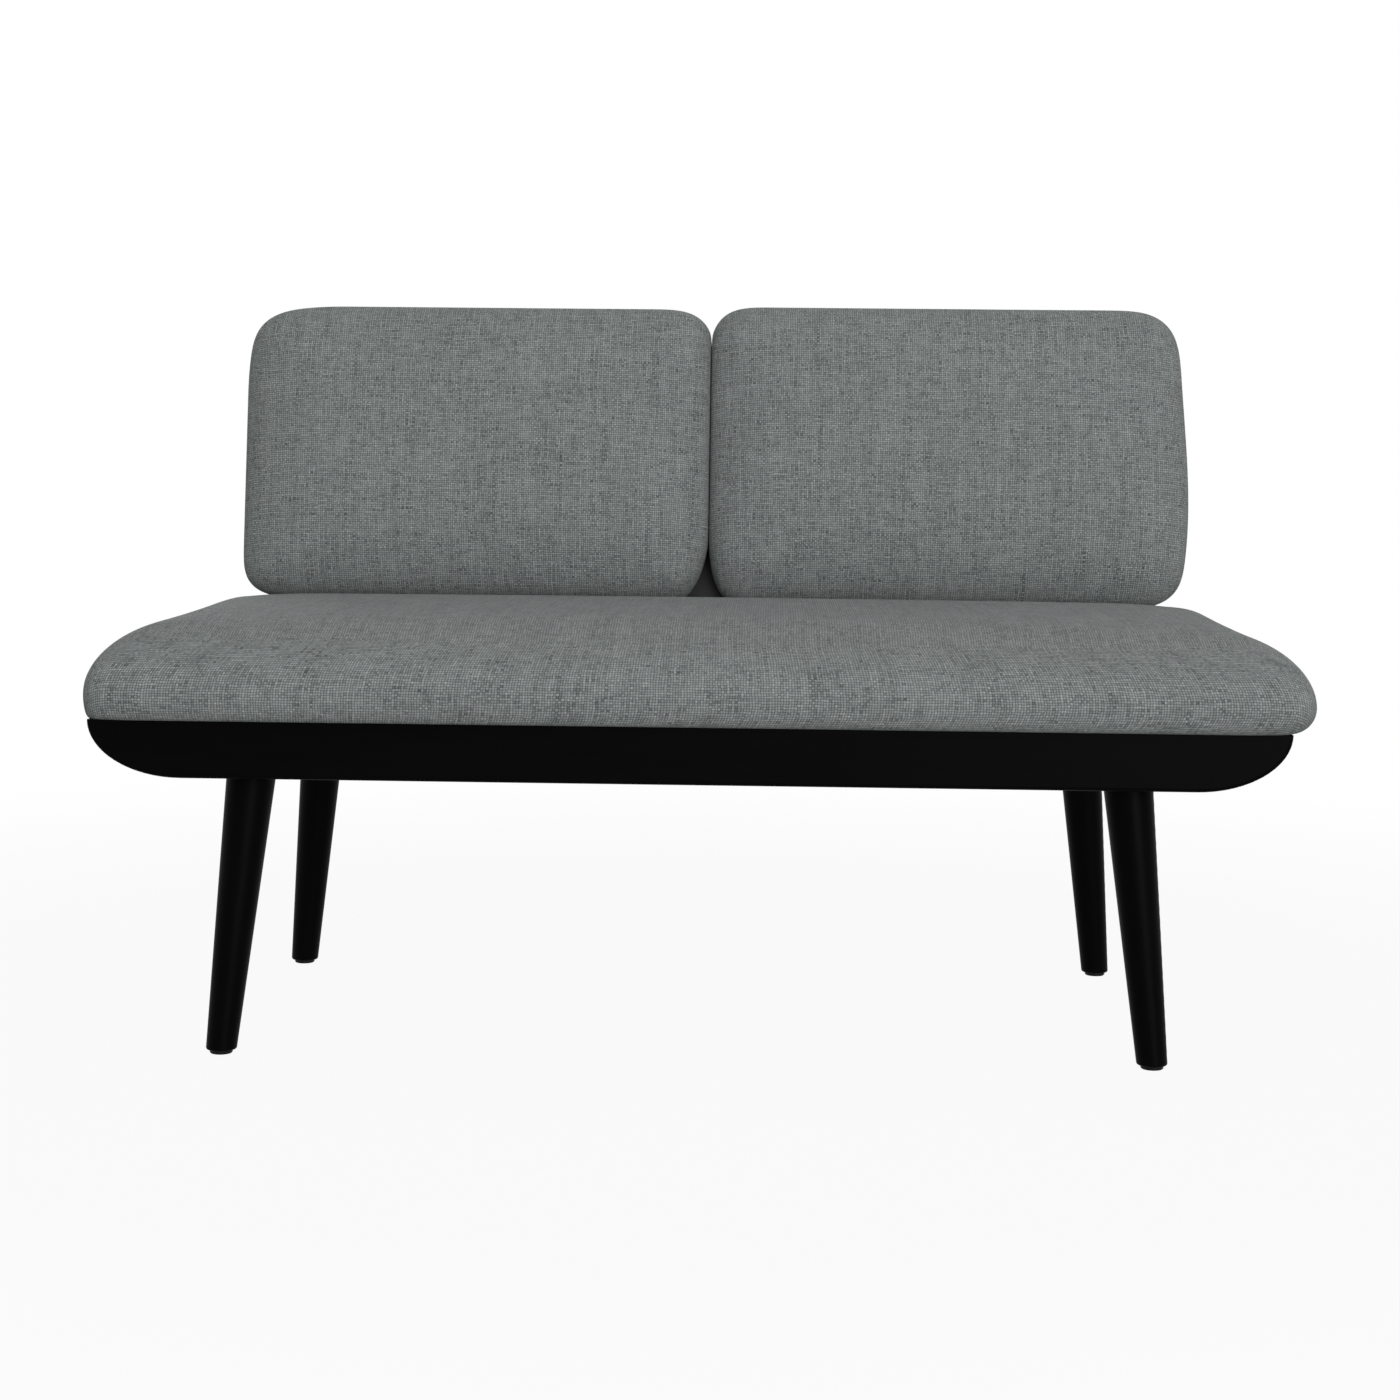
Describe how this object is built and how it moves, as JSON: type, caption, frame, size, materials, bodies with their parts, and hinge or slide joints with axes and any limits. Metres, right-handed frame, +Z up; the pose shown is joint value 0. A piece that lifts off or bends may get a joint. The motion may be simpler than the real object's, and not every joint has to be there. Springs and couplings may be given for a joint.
{
  "type": "two-seater sofa",
  "caption": "Armless upholstered sofa with a long crowned seat cushion, leaning back pads, a boat-shaped black base and splayed tapered legs.",
  "frame": {"origin": "on the floor, at the middle of the whole sofa's box", "axes": "+X to the right of someone facing the sofa, +Y to its back, +Z up"},
  "size_m": [1.2696, 0.6484, 0.8159],
  "materials": {
    "melange_fabric": "matte",
    "cut_foam": "matte",
    "black_lacquer": "satin",
    "birch_plywood": "matte",
    "pine": "matte",
    "black_powder_coat": "satin",
    "zinc_plated_steel": "satin",
    "black_nylon": "matte"
  },
  "bodies": {
    "root": {"front_rail": "black_lacquer", "rear_rail": "black_lacquer", "base_tray": "black_lacquer", "left_bearer": "pine", "centre_bearer": "pine", "right_bearer": "pine", "front_left_leg": "black_lacquer", "front_right_leg": "black_lacquer", "rear_left_leg": "black_lacquer", "rear_right_leg": "black_lacquer", "front_left_glide": "black_nylon", "front_right_glide": "black_nylon", "rear_left_glide": "black_nylon", "rear_right_glide": "black_nylon", "hanger_bolts": "zinc_plated_steel", "insert_nuts": "zinc_plated_steel", "seat_board": "birch_plywood", "seat_foam": "cut_foam", "seat_cover": "melange_fabric", "seat_bolts": "zinc_plated_steel", "seat_tee_nuts": "zinc_plated_steel", "left_back_board": "birch_plywood", "right_back_board": "birch_plywood", "left_back_foam": "cut_foam", "right_back_foam": "cut_foam", "left_back_cover": "melange_fabric", "right_back_cover": "melange_fabric", "pad_bolts": "black_powder_coat", "pad_tee_nuts": "zinc_plated_steel", "left_bracket": "black_powder_coat", "centre_bracket": "black_powder_coat", "right_bracket": "black_powder_coat", "rail_bolts": "black_powder_coat", "rail_tee_nuts": "zinc_plated_steel"}
  },
  "joints": []
}
